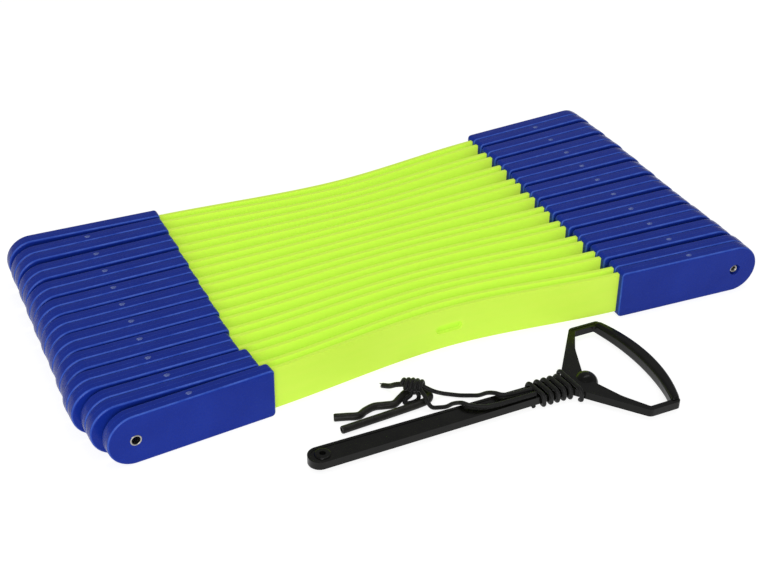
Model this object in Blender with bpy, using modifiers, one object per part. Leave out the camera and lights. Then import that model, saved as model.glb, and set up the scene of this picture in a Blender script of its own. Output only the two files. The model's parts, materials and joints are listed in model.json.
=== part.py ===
"""Agility slats: a folding chain of twenty slats and its carry handle, at real size.

Units are metres and +Z is up. The slats stand on edge along X, stacked along Y, and the origin
is on the floor, under the middle of the box round the slats and the handle.
"""

import math

import bmesh
import bpy
import numpy as np
from mathutils import Matrix, Vector

# Slats and their end caps
SLAT_COUNT = 20
FUSED_SLATS = (10, 11)
STACK_AT = (0.0040, 0.0513)
CAP_HEIGHT = 0.038
CAP_LENGTH = 0.118
CAP_THICKNESS = 0.0104
CAP_CORNER = 0.003
CAP_EDGE = 0.0014
CAP_REACH = CAP_LENGTH - CAP_HEIGHT / 2
BLADE_HEIGHT = 0.0324
BLADE_THICKNESS = 0.003
BLADE_OFFSET = 0.0012
BLADE_STATIONS = 10
TONGUE = 0.030
SLOT_LENGTH = 0.021
SLOT_HEIGHT = 0.007
SLOT_AT = 0.003
WAIST_PITCH = 0.0105
WAIST_STAGGER = 0.0007

# How the folded caps lie: riveted pairs are flat together. On the right the pairs fan out evenly.
# On the left they lie almost parallel, closest in the middle of the stack, and only the free
# ends of the first and the last slat splay away from it. Two left pairs, counted here from the
# front, stand a little further out than the others.
PAIR_GAP = 0.0004
RIGHT_FAN = 0.0144
RIGHT_MIDDLE = 0.0009
RIGHT_PITCH = 0.02575
RIGHT_OUT = 0.2352
RIGHT_STEP = 0.0042
LEFT_LEAN = 0.0135
LEFT_SPLAY = 0.0580
LEFT_MIDDLE = -0.0072
LEFT_PITCH = 0.0228
LEFT_LOOSER = 0.00007
LEFT_LOOSER_BACK = 0.0002
LEFT_OUT = 0.2365
LEFT_BULGE = 0.0082
LEFT_OUT_BACK = 0.0020
LEFT_FURTHER_OUT = {2: 0.0034, 3: 0.0012}
FREE_ENDS = (-0.1202, 0.1136)

# Rivets
CLEARANCE = 0.0003
BORE = 0.0068
SHANK = 0.0060
HEAD = 0.0077
HEAD_THICKNESS = 0.0010
RECESS = 0.0086
RECESS_DEPTH = 0.0026
ROUND_SIDES = 12

# Carry handle, laid in front of the slats on the cord that is wound round its neck
HANDLE_TIP = (-0.1402, -0.1775)
HANDLE_TURN = math.radians(-0.7)
BAR_THICKNESS = 0.0058
BAR_EDGE = 0.0011
BAR_HALF_TIP = 0.0083
BAR_HALF_NECK = 0.0069
NECK_END = 0.1910
NECK_FLARE = 0.006
ARM_FOOT = 0.2270
GRIP_HALF_WIDTH = 0.0523
GRIP_BACK = 0.2515
GRIP_BULGE = 0.0104
GRIP_ASIDE = 0.0017
OPENING_HALF_WIDTH = 0.0478
OPENING_FRONT = 0.2075
OPENING_BACK = 0.2460
OPENING_BULGE = 0.0072
HAND_BAR_HALF_LENGTH = 0.0495
HAND_BAR_THICKNESS = 0.0091
HAND_BAR_EDGE = 0.0026
HUB_AT = 0.2075
HUB = 0.0178
HUB_SHOULDER = -0.0033
HUB_TOP = 0.0057
TIP_HOLE_AT = 0.0100
TIP_HOLE = 0.0042
TIP_BOSS = 0.0110
TIP_BOSS_THICKNESS = 0.0072

# Cord round the neck, its two strands and knot, and the rubber tube held in the knot
CORD = 0.0030
CORD_CLEARANCE = 0.00035
TURNS = 6
TURN_POINTS = 24
WINDING_START = 0.1630
FIRST_PITCH = 0.0080
LAST_PITCH = 0.0049
TUBE = 0.0055

WRAP_HALF_HEIGHT = BAR_THICKNESS / 2 + CORD_CLEARANCE + CORD / 2
WRAP_CORNER = BAR_EDGE + CORD_CLEARANCE + CORD / 2
HANDLE_Z = WRAP_HALF_HEIGHT + CORD / 2 + 0.0001

UPPER_STRAND = (
    (-0.0400, -0.1420, 0.0098), (-0.0339, -0.1470, 0.0068), (-0.0268, -0.1468, 0.0024),
    (-0.0213, -0.1499, 0.0017), (-0.0162, -0.1534, 0.0017), (-0.0105, -0.1565, 0.0019),
    (-0.0064, -0.1612, 0.0040), (-0.0031, -0.1665, 0.0086), (-0.0004, -0.1720, 0.0114),
    (0.0036, -0.1760, 0.0114), (0.0110, -0.1776, 0.0112), (0.0245, -0.1786, 0.0112),
)
LOWER_STRAND = (
    (-0.0430, -0.1430, 0.0098), (-0.0428, -0.1500, 0.0088), (-0.0425, -0.1553, 0.0058),
    (-0.0402, -0.1575, 0.0024), (-0.0355, -0.1590, 0.0017), (-0.0310, -0.1610, 0.0024),
    (-0.0285, -0.1652, 0.0070), (-0.0258, -0.1718, 0.0114), (-0.0222, -0.1765, 0.0115),
    (-0.0150, -0.1812, 0.0112), (-0.0050, -0.1832, 0.0112), (0.0245, -0.1840, 0.0112),
)
TAIL = (
    (-0.0490, -0.1360, 0.0100), (-0.0535, -0.1305, 0.0074), (-0.0563, -0.1254, 0.0036),
    (-0.0592, -0.1206, 0.0017),
)
KNOT_AT = (-0.0455, -0.1388, 0.0104)
KNOT_SIZE = (0.0085, 0.0058, 0.0044)
KNOT_TURN = math.radians(-35)
TUBE_ROUTE = (
    (-0.1050, -0.1398, 0.00285), (-0.0969, -0.1426, 0.00285), (-0.0892, -0.1450, 0.00285),
    (-0.0830, -0.1423, 0.00285), (-0.0757, -0.1407, 0.00285), (-0.0686, -0.1425, 0.00285),
    (-0.0620, -0.1438, 0.00285), (-0.0552, -0.1397, 0.00285), (-0.0488, -0.1362, 0.00285),
    (-0.0424, -0.1368, 0.00285), (-0.0375, -0.1403, 0.00285), (-0.0362, -0.1455, 0.00285),
    (-0.0397, -0.1497, 0.00285), (-0.0470, -0.1511, 0.00285), (-0.0560, -0.1517, 0.00285),
    (-0.0700, -0.1524, 0.00285), (-0.0880, -0.1532, 0.00285), (-0.1058, -0.1540, 0.00285),
)


def clear_scene():
    for item in list(bpy.data.objects):
        bpy.data.objects.remove(item, do_unlink=True)


def collection(name):
    made = bpy.data.collections.new(name)
    bpy.context.scene.collection.children.link(made)
    return made


def plastic(name, colour, roughness, metallic=0.0):
    made = bpy.data.materials.new(name)
    made.use_nodes = True
    shader = made.node_tree.nodes["Principled BSDF"]
    shader.inputs["Base Color"].default_value = (*colour, 1.0)
    shader.inputs["Roughness"].default_value = roughness
    shader.inputs["Metallic"].default_value = metallic
    made.diffuse_color = (*colour, 1.0)
    return made


def rounded(corners):
    """A closed outline with each corner (x, y, radius, steps) rounded by an arc of steps sides."""
    points = []
    for i, (x, y, radius, steps) in enumerate(corners):
        corner = Vector((x, y))
        if not steps:
            points.append(corner)
            continue
        before = (Vector(corners[i - 1][:2]) - corner).normalized()
        after = (Vector(corners[(i + 1) % len(corners)][:2]) - corner).normalized()
        half = before.angle(after) / 2
        centre = corner + (before + after).normalized() * (radius / math.sin(half))
        start = corner + before * (radius / math.tan(half)) - centre
        sweep = start.angle_signed(corner + after * (radius / math.tan(half)) - centre)
        points += [centre + Matrix.Rotation(-sweep * n / steps, 2) @ start for n in range(steps + 1)]
    return points


def arc_through(start, end, bulge, steps):
    """Points from start to end on an arc that stands out by bulge to the right of the line."""
    start, end = Vector(start), Vector(end)
    middle, along = (start + end) / 2, end - start
    aside = Vector((along.y, -along.x)).normalized()
    radius = (along.length_squared / 4 + bulge**2) / (2 * bulge)
    half = math.asin(along.length / 2 / radius)
    centre = middle + aside * (bulge - radius)
    angles = [half * (2 * n / steps - 1) for n in range(steps + 1)]
    return [centre + (aside * math.cos(a) + along.normalized() * math.sin(a)) * radius for a in angles]


def baked(item):
    """The item's evaluated mesh, welded; the item itself is removed."""
    bpy.context.view_layer.update()
    graph = bpy.context.evaluated_depsgraph_get()
    mesh = bpy.data.meshes.new_from_object(item.evaluated_get(graph))
    mesh.transform(item.matrix_world)
    bm = bmesh.new()
    bm.from_mesh(mesh)
    bmesh.ops.remove_doubles(bm, verts=bm.verts, dist=1e-6)
    bm.to_mesh(mesh)
    bm.free()
    bpy.data.objects.remove(item, do_unlink=True)
    return mesh


def linked(name, data, group):
    made = bpy.data.objects.new(name, data)
    group.objects.link(made)
    return made


def plate(name, outlines, thickness, group):
    """A flat plate in the XY plane, centred on z = 0, with the later outlines as its holes."""
    curve = bpy.data.curves.new(name, "CURVE")
    curve.dimensions = "2D"
    curve.fill_mode = "BOTH"
    curve.extrude = thickness / 2
    for outline in outlines:
        spline = curve.splines.new("POLY")
        spline.points.add(len(outline) - 1)
        for point, (x, y) in zip(spline.points, outline):
            point.co = (x, y, 0.0, 1.0)
        spline.use_cyclic_u = True
    return linked(name, baked(linked(name, curve, group)), group)


def bevelled(item, width):
    bevel = item.modifiers.new("edge", "BEVEL")
    bevel.width = width
    bevel.segments = 1
    bevel.limit_method = "ANGLE"
    bevel.angle_limit = math.radians(60)
    return item


def disc(name, diameter, low, high, group, sides=ROUND_SIDES):
    """A round bar along Z from low to high."""
    mesh = bpy.data.meshes.new(name)
    bm = bmesh.new()
    bmesh.ops.create_cone(
        bm, cap_ends=True, segments=sides, radius1=diameter / 2, radius2=diameter / 2,
        depth=high - low, matrix=Matrix.Translation((0, 0, (low + high) / 2)),
    )
    bm.to_mesh(mesh)
    bm.free()
    return linked(name, mesh, group)


def turned(name, profile, group, sides=14):
    """A solid turned about Z from a profile of (radius, z) points that starts and ends on Z."""
    line = bpy.data.meshes.new(name)
    line.from_pydata([(radius, 0.0, z) for radius, z in profile],
                     [(n, n + 1) for n in range(len(profile) - 1)], [])
    item = linked(name, line, group)
    screw = item.modifiers.new("turn", "SCREW")
    screw.steps = screw.render_steps = sides
    screw.use_merge_vertices = True
    screw.merge_threshold = 1e-6
    screw.use_normal_calculate = True
    return linked(name, baked(item), group)


def block(name, low, high, group):
    mesh = bpy.data.meshes.new(name)
    bm = bmesh.new()
    size = Vector(high) - Vector(low)
    middle = Matrix.Translation((Vector(high) + Vector(low)) / 2)
    bmesh.ops.create_cube(bm, size=1.0, matrix=middle @ Matrix.Diagonal((*size, 1.0)))
    bm.to_mesh(mesh)
    bm.free()
    return linked(name, mesh, group)


def combined(item, others, operation):
    """The item's mesh after it is cut by, or joined to, the others, which are removed."""
    for other in others:
        step = item.modifiers.new(other.name, "BOOLEAN")
        step.operation = operation
        step.solver = "EXACT"
        step.object = other
        other.hide_render = True
        other.display_type = "WIRE"
    name, group = item.name, item.users_collection[0]
    mesh = baked(item)
    for other in others:
        bpy.data.objects.remove(other, do_unlink=True)
    return linked(name, mesh, group)


def cap_outline():
    """Round about the pivot at the outer end, with small corners where the blade goes in."""
    half, steps = CAP_HEIGHT / 2, 10
    angles = [math.radians(90 + 180 * n / steps) for n in range(steps + 1)]
    end = [Vector((math.cos(a), math.sin(a))) * half for a in angles]
    square = [
        (0.0, -half, 0.0, 0), (CAP_REACH, -half, CAP_CORNER, 2),
        (CAP_REACH, half, CAP_CORNER, 2), (0.0, half, 0.0, 0),
    ]
    return end + rounded(square)[1:-1]


def cap_mesh(side, role, pocket, cutters):
    """An end cap lying flat, its pivot on the Z axis and its inner end towards +X.

    The blade goes in nearer the low face. On the right of the slats the low face meets the
    riveted neighbour, and on the left the high face does.
    """
    body = bevelled(plate("cap", [cap_outline()], CAP_THICKNESS, cutters), CAP_EDGE)
    towards = -1 if side == "right" else 1
    outer_face = -towards * CAP_THICKNESS / 2
    sunk_face = outer_face + towards * RECESS_DEPTH
    past = outer_face - towards * CLEARANCE
    cuts = []
    if pocket:
        room = CLEARANCE
        cuts.append(block(
            "pocket",
            (CAP_REACH - TONGUE - room, -BLADE_HEIGHT / 2 - room,
             -BLADE_OFFSET - BLADE_THICKNESS / 2 - room),
            (CAP_REACH + room, BLADE_HEIGHT / 2 + room, -BLADE_OFFSET + BLADE_THICKNESS / 2 + room),
            cutters,
        ))
    if role != "free":
        cuts.append(disc("recess", RECESS, min(past, sunk_face), max(past, sunk_face), cutters))
    if role != "holds":
        cuts.append(disc("bore", BORE, -CAP_THICKNESS, CAP_THICKNESS, cutters))
    body = combined(body, cuts, "DIFFERENCE")
    if role == "holds":
        far_face = towards * (CAP_THICKNESS / 2 + PAIR_GAP + CAP_THICKNESS)
        head_base = far_face - towards * (RECESS_DEPTH - CLEARANCE)
        head_top = head_base + towards * HEAD_THICKNESS
        middle = head_base + towards * HEAD_THICKNESS / 2
        root = towards * CAP_THICKNESS / 4
        rivet = [
            disc("shank", SHANK, min(root, middle), max(root, middle), cutters),
            disc("head", HEAD, min(head_base, head_top), max(head_base, head_top), cutters),
        ]
        body = combined(body, rivet, "UNION")
    return baked(body)


def row_of(side, slat):
    """A cap's row from the front: riveted pairs share a row, and rows 0 and 10 are free ends."""
    return slat // 2 if side == "left" else (slat + 1) // 2


def on_stack(x, y, z):
    """A point given from the middle of the stack of slats, on the floor."""
    return Vector((x + STACK_AT[0], y + STACK_AT[1], z))


def pair_lean(side, slat):
    """How far a slat's cap turns towards the back on its way inwards, in radians."""
    row = row_of(side, slat)
    if side == "right":
        return RIGHT_FAN * (5.5 - row)
    return LEFT_LEAN + LEFT_SPLAY * (0.25**row - 0.25 ** (10 - row))


def across(side, slat):
    """The way towards the back that is square to a slat's cap."""
    lean = pair_lean(side, slat)
    return Vector((math.sin(lean) if side == "right" else -math.sin(lean), math.cos(lean), 0.0))


def pivot(side, slat):
    """The middle of a slat's cap at its pivot."""
    row = row_of(side, slat)
    if side == "right":
        late = min(1.0, max(0.0, (row - 4) / 4.5))
        x = RIGHT_OUT + RIGHT_STEP * late**2 * (3 - 2 * late)
        y = RIGHT_MIDDLE + RIGHT_PITCH * (row - 5.5)
    else:
        from_middle = row - 5
        x = -LEFT_OUT - LEFT_BULGE * math.sin(math.pi * (row / 10) ** 0.55)
        x -= LEFT_OUT_BACK * (row / 10) ** 2 + LEFT_FURTHER_OUT.get(row, 0.0)
        y = LEFT_MIDDLE + LEFT_PITCH * from_middle
        y += LEFT_LOOSER_BACK * from_middle**2 + LEFT_LOOSER * from_middle**3
    if role_of(side, slat) == "free":
        return on_stack(x, FREE_ENDS[0] if slat == 1 else FREE_ENDS[1], CAP_HEIGHT / 2)
    behind = (slat % 2 == 0) == (side == "right")
    half = (CAP_THICKNESS + PAIR_GAP) / (2 if behind else -2)
    return on_stack(x, y, CAP_HEIGHT / 2) + across(side, slat) * half


def heading(side, slat):
    """The way from a slat's pivot along its cap, as an angle about Z."""
    lean = pair_lean(side, slat)
    return math.pi - lean if side == "right" else lean


def cap_turn(side, slat):
    """Stands a flat cap on edge: the high face looks to the front on odd slats."""
    tipped = math.pi / 2 if (side == "left") == (slat % 2 == 1) else -math.pi / 2
    return (tipped, 0.0, heading(side, slat))


def blade_path(slat):
    """Where a blade's middle runs, as a function of x that gives y and its slope."""
    back = 1 if slat % 2 else -1
    ends = {}
    for side in ("left", "right"):
        angle, centre = heading(side, slat), pivot(side, slat)
        end = centre.xy + Vector((math.cos(angle), math.sin(angle))) * CAP_REACH
        ends[side] = (end + across(side, slat).xy * BLADE_OFFSET * back, math.tan(angle))
    middle_y = (slat - (SLAT_COUNT + 1) / 2) * WAIST_PITCH + back * WAIST_STAGGER
    middle = on_stack(SLOT_AT, middle_y, 0.0)
    level = (ends["right"][0].y - ends["left"][0].y) / (ends["right"][0].x - ends["left"][0].x)

    def path(x):
        end, slope = ends["left" if x < middle.x else "right"]
        run = end.x - middle.x
        t = (x - middle.x) / run
        if t >= 1.0:
            return end.y + slope * (x - end.x), slope
        y = (
            middle.y * (2 * t**3 - 3 * t**2 + 1) + end.y * (3 * t**2 - 2 * t**3)
            + run * (level * (t**3 - 2 * t**2 + t) + slope * (t**3 - t**2))
        )
        steepness = (
            (middle.y - end.y) * 6 * (t**2 - t) / run
            + level * (3 * t**2 - 4 * t + 1) + slope * (3 * t**2 - 2 * t)
        )
        return y, steepness

    return path, ends


def blade_mesh(slat, tongue, cutters):
    """A blade with the handle's slot, cut straight and then bowed along its path."""
    path, ends = blade_path(slat)
    tilt = math.cos(pair_lean("left", slat))
    left, right = ends["left"][0].x - tongue * tilt, ends["right"][0].x + tongue * tilt
    half, thick = BLADE_HEIGHT / 2, BLADE_THICKNESS / 2
    body = block("blade", (left, -half, -thick), (right, half, thick), cutters)
    half_slot, half_long = SLOT_HEIGHT / 2, SLOT_LENGTH / 2
    corners = [
        (x, y, half_slot * 0.999, 3)
        for x, y in ((-half_long, -half_slot), (half_long, -half_slot),
                     (half_long, half_slot), (-half_long, half_slot))
    ]
    slot = plate("slot", [rounded(corners)], BLADE_THICKNESS * 2, cutters)
    slot.location.x = STACK_AT[0] + SLOT_AT
    mesh = baked(combined(body, [slot], "DIFFERENCE"))
    bm = bmesh.new()
    bm.from_mesh(mesh)
    first, last = ends["left"][0].x - TONGUE / 8, ends["right"][0].x + TONGUE / 8
    for n in range(BLADE_STATIONS + 1):
        x = first + (last - first) * n / BLADE_STATIONS
        everything = bm.verts[:] + bm.edges[:] + bm.faces[:]
        bmesh.ops.bisect_plane(bm, geom=everything, dist=1e-6, plane_co=(x, 0, 0), plane_no=(1, 0, 0))
    for vertex in bm.verts:
        x, up, aside = vertex.co
        y, slope = path(x)
        front = Vector((slope, -1.0)).normalized()
        vertex.co = (x + front.x * aside, y + front.y * aside, CAP_HEIGHT / 2 + up)
    bm.to_mesh(mesh)
    bm.free()
    return mesh


def role_of(side, slat):
    """Whether a cap holds its pair's rivet, turns on it, or stands at a free end of the chain."""
    if side == "left" and slat in (1, SLAT_COUNT):
        return "free"
    neighbour = slat + 1 if (slat % 2 == 1) == (side == "right") else slat - 1
    root = FUSED_SLATS[0]
    return "holds" if abs(slat - root) < abs(neighbour - root) else "turns"


def joint_side(slat):
    """The side on which a slat turns on the neighbour nearer the middle of the chain."""
    root = FUSED_SLATS[0]
    return "right" if (slat % 2 == 1) == (slat < root) else "left"


def stand(item, carrier, place, turn=(0.0, 0.0, 0.0)):
    """Puts an item at a place in the world, carried by an empty that isn't turned."""
    item.parent = carrier
    item.location = Vector(place) - carrier.location
    item.rotation_euler = turn


def coat(item, material):
    item.data.materials.clear()
    item.data.materials.append(material)
    item.data.shade_smooth()
    item.data.set_sharp_from_angle(angle=math.radians(30))


def pivot_empty(name, place, group):
    empty = linked(name, None, group)
    empty.location = place
    empty.empty_display_size = 0.01
    return empty


def make_slats(group, cutters, cap_colour, blade_colour):
    caps = {}
    for slat in range(1, SLAT_COUNT + 1):
        label = f"slat_{slat:02d}"
        carrier = pivot_empty(label + "_pivot", pivot(joint_side(slat), slat), group)
        fused = slat in FUSED_SLATS
        blade = linked(f"blade_{slat:02d}", blade_mesh(slat, TONGUE, cutters), group)
        pieces = []
        for side in ("left", "right"):
            kind = (side, role_of(side, slat), not fused)
            if kind not in caps:
                caps[kind] = cap_mesh(*kind, cutters)
            cap = linked(f"{side}_cap_{slat:02d}", caps[kind], group)
            cap.location = pivot(side, slat)
            cap.rotation_euler = cap_turn(side, slat)
            pieces.append(cap)
        if fused:
            blade.name = label
            blade = combined(blade, pieces, "UNION")
            pieces = []
        coat(blade, blade_colour)
        stand(blade, carrier, (0.0, 0.0, 0.0))
        for cap in pieces:
            coat(cap, cap_colour)
            stand(cap, carrier, cap.location.copy(), cap.rotation_euler.copy())


def mirrored(low):
    """The corners of a shape's lower half, and the upper half that mirrors it."""
    return low + [(x, -y, radius, steps) for x, y, radius, steps in reversed(low)]


def bowed(points, bulge):
    """The outline with its middle edge replaced by an arc."""
    half = len(points) // 2
    return points[:half - 1] + arc_through(points[half - 1], points[half], bulge, 8) + points[half + 1:]


def grip_aside(along):
    """How far the handle's middle lies to the side: not at all on the neck, fully past the arms."""
    return GRIP_ASIDE * min(1.0, max(0.0, (along - NECK_END) / (ARM_FOOT - NECK_END)))


def set_aside(points):
    return [Vector((x, y + grip_aside(x))) for x, y in points]


def handle_outline():
    """The flat of the handle: the bar with its round tip, the two arms and the bowed back."""
    return set_aside(bowed(rounded(mirrored([
        (0.0, -BAR_HALF_TIP, BAR_HALF_TIP * 0.9, 4), (NECK_END, -BAR_HALF_NECK, NECK_FLARE, 3),
        (ARM_FOOT, -GRIP_HALF_WIDTH, 0.005, 2), (GRIP_BACK, -GRIP_HALF_WIDTH, 0.003, 2),
    ])), GRIP_BULGE))


def opening_outline():
    """The hand opening, which narrows between the arms to the hub."""
    return set_aside(bowed(rounded(mirrored([
        (OPENING_FRONT, -0.0035, 0.0, 0), (OPENING_FRONT + 0.0108, -0.0300, 0.030, 2),
        (ARM_FOOT + 0.0025, -OPENING_HALF_WIDTH, 0.0015, 1),
        (OPENING_BACK, -OPENING_HALF_WIDTH, 0.0015, 1),
    ])), OPENING_BULGE))


def hand_bar_outline():
    """The thick round part that the fingers close on, wider than the flat on both sides."""
    half, swell = HAND_BAR_HALF_LENGTH, 0.0003
    outer = arc_through((GRIP_BACK + swell, -half), (GRIP_BACK + swell, half), GRIP_BULGE, 8)
    inner = arc_through((OPENING_BACK - swell, -half), (OPENING_BACK - swell, half), OPENING_BULGE, 8)
    return set_aside(outer + inner[::-1])


def hub_profile():
    """The hub from below: a flat foot on the floor, a straight side and a round dome."""
    foot, radius = 0.001, HUB / 2
    rise = HUB_TOP - HUB_SHOULDER
    dome = [
        (radius * math.cos(a), HUB_SHOULDER + rise * math.sin(a))
        for a in [math.pi / 2 * n / 5 for n in range(5)]
    ]
    return [(0.0, -HANDLE_Z), (radius - foot, -HANDLE_Z), (radius, foot - HANDLE_Z), *dome, (0.0, HUB_TOP)]


def handle_mesh(cutters):
    """One moulding: the flat, and on it a boss round the tip's hole, the hub and the hand bar."""
    flat = plate("flat", [handle_outline(), opening_outline()], BAR_THICKNESS, cutters)
    bevelled(flat, BAR_EDGE)
    hand_bar = plate("hand_bar", [hand_bar_outline()], HAND_BAR_THICKNESS, cutters)
    bevelled(hand_bar, HAND_BAR_EDGE)
    hub = turned("hub", hub_profile(), cutters)
    hub.location.x = HUB_AT
    boss = disc("boss", TIP_BOSS, -TIP_BOSS_THICKNESS / 2, TIP_BOSS_THICKNESS / 2, cutters)
    boss.location.x = TIP_HOLE_AT
    hole = disc("hole", TIP_HOLE, -BAR_THICKNESS, BAR_THICKNESS, cutters)
    hole.location.x = TIP_HOLE_AT
    body = combined(flat, [hand_bar, hub, boss], "UNION")
    return baked(combined(body, [hole], "DIFFERENCE"))


def wrap_half_width(along):
    """How far to the side of the neck's middle the cord runs: round the neck, then out on the arms."""
    taper = (BAR_HALF_TIP - BAR_HALF_NECK) * max(0.0, 1 - along / NECK_END)
    slope = math.atan2(GRIP_HALF_WIDTH - BAR_HALF_NECK, ARM_FOOT - NECK_END)
    radius = NECK_FLARE - CORD_CLEARANCE - CORD / 2
    past = max(0.0, along - NECK_END + NECK_FLARE * math.tan(slope / 2))
    on_arc = min(past, radius * math.sin(slope))
    return (
        BAR_HALF_NECK + taper + NECK_FLARE - math.sqrt(radius**2 - on_arc**2)
        + (past - on_arc) * math.tan(slope)
    )


def round_the_bar(share, half_width):
    """A point of the cord's way round the neck, seen along it, after this share of a turn."""
    wide, high = half_width - WRAP_CORNER, WRAP_HALF_HEIGHT - WRAP_CORNER
    quarter = math.pi * WRAP_CORNER / 2
    left = (share % 1.0) * (4 * wide + 4 * high + 4 * quarter)
    runs = (
        (2 * wide, (wide, high), 90), (2 * high, (-wide, high), 180),
        (2 * wide, (-wide, -high), 270), (2 * high, (wide, -high), 0),
    )
    for run, corner, angle in runs:
        facing = math.radians(angle)
        outwards = Vector((math.cos(facing), math.sin(facing)))
        onwards = Vector((-outwards.y, outwards.x))
        if left <= run:
            return Vector(corner) + outwards * WRAP_CORNER + onwards * left
        left -= run
        if left <= quarter:
            turned = facing + left / WRAP_CORNER
            round_it = Vector((math.cos(turned), math.sin(turned)))
            return Vector(corner) + onwards * run + round_it * WRAP_CORNER
        left -= quarter
    return Vector((wide, high + WRAP_CORNER))


def winding_points():
    """The cord's turns round the neck, wide apart at first and closer towards the hub."""
    points = []
    for n in range(TURNS * TURN_POINTS + 1):
        turn = n / TURN_POINTS
        settled = (FIRST_PITCH - LAST_PITCH) * (1 - math.exp(-turn))
        along = WINDING_START + LAST_PITCH * turn + settled
        across = round_the_bar(turn + 0.5, wrap_half_width(along))
        points.append(Vector((along, across.x + grip_aside(along), across.y)))
    return points


def least_gap(points, diameter, apart):
    """The least clear space between stretches of a cord that lie at least apart points apart."""
    spots = np.array(points)
    spans = np.linalg.norm(spots[:, None] - spots[None], axis=2)
    far = np.abs(np.subtract.outer(np.arange(len(spots)), np.arange(len(spots)))) >= apart
    return spans[far].min() - diameter


def smooth_route(points, spacing):
    """Points a spacing apart on a smooth curve through the given ones."""
    spots = [Vector(p) for p in points]
    spots = [2 * spots[0] - spots[1], *spots, 2 * spots[-1] - spots[-2]]
    fine = []
    for a, b, c, d in zip(spots, spots[1:], spots[2:], spots[3:]):
        for n in range(20):
            t = n / 20
            fine.append(0.5 * (
                2 * b + (c - a) * t + (2 * a - 5 * b + 4 * c - d) * t**2
                + (3 * b - a - 3 * c + d) * t**3
            ))
    fine.append(spots[-2])
    lengths = np.cumsum([0.0] + [(q - p).length for p, q in zip(fine, fine[1:])])
    count = max(2, round(lengths[-1] / spacing))
    wanted = np.linspace(0.0, lengths[-1], count + 1)
    return np.column_stack([np.interp(wanted, lengths, [p[k] for p in fine]) for k in range(3)])


def tube(name, points, diameter, resolution, group):
    curve = bpy.data.curves.new(name, "CURVE")
    curve.dimensions = "3D"
    curve.bevel_depth = diameter / 2
    curve.bevel_resolution = resolution
    curve.use_fill_caps = True
    spline = curve.splines.new("POLY")
    spline.points.add(len(points) - 1)
    for point, place in zip(spline.points, points):
        point.co = (*place, 1.0)
    return linked(name, baked(linked(name, curve, group)), group)


def knot_mesh(cutters):
    """The knot, its two strands and its short tail, as one piece on the floor."""
    lump = bpy.data.meshes.new("knot")
    bm = bmesh.new()
    bmesh.ops.create_uvsphere(
        bm, u_segments=12, v_segments=8, radius=1.0,
        matrix=Matrix.Translation(KNOT_AT) @ Matrix.Rotation(KNOT_TURN, 4, "Z")
        @ Matrix.Diagonal((*KNOT_SIZE, 1.0)),
    )
    bm.to_mesh(lump)
    bm.free()
    body = linked("knot", lump, cutters)
    strands = [
        tube(name, smooth_route(route, 2.0 * CORD), CORD, 2, cutters)
        for name, route in (("upper", UPPER_STRAND), ("lower", LOWER_STRAND), ("tail", TAIL))
    ]
    return baked(combined(body, strands, "UNION"))


def make_handle(group, cutters, moulded, corded, rubber):
    x, y = HANDLE_TIP
    carrier = pivot_empty("carry_handle_pivot", on_stack(x, y, HANDLE_Z), group)
    carrier.rotation_euler.z = HANDLE_TURN
    handle = linked("carry_handle", handle_mesh(cutters), group)
    handle.parent = carrier
    coat(handle, moulded)
    turns = winding_points()
    gap = least_gap(turns, CORD, TURN_POINTS // 2)
    print(f"least gap of the cord's winding to itself: {gap * 1000:.2f} mm")
    winding = linked("cord_winding", tube("winding", turns, CORD, 1, cutters).data, group)
    winding.parent = carrier
    coat(winding, corded)
    floor = pivot_empty("cord_on_floor", on_stack(0.0, 0.0, 0.0), group)
    strands = linked("cord_and_knot", knot_mesh(cutters), group)
    strands.parent = floor
    coat(strands, corded)
    route = smooth_route(TUBE_ROUTE, 2.0 * TUBE)
    hose = linked("rubber_tube", tube("hose", route, TUBE, 2, cutters).data, group)
    hose.parent = floor
    coat(hose, rubber)


def main():
    clear_scene()
    parts = collection("agility_slats")
    cutters = collection("cutters")
    make_slats(
        parts, cutters,
        plastic("blue_moulded_plastic", (0.017, 0.040, 0.301), 0.42),
        plastic("fluorescent_yellow_plastic", (0.610, 0.922, 0.080), 0.40),
    )
    make_handle(
        parts, cutters,
        plastic("black_moulded_plastic", (0.010, 0.010, 0.010), 0.28),
        plastic("black_cord", (0.008, 0.008, 0.008), 0.60),
        plastic("black_rubber", (0.020, 0.020, 0.018), 0.45),
    )
    for spare in list(cutters.objects):
        bpy.data.objects.remove(spare, do_unlink=True)


main()
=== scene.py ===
"""The look of the agility slats: rounded blue caps, glowing blades, black handle, cord and tube.

Units are metres and +Z is up. The layout is the CAD model's: the stack frame has its origin on
the floor under the middle of the slats, and STACK_AT carries it to the frame's own origin.
"""

import json
import math

import bmesh
import bpy
import numpy as np
from mathutils import Matrix, Vector

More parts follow.
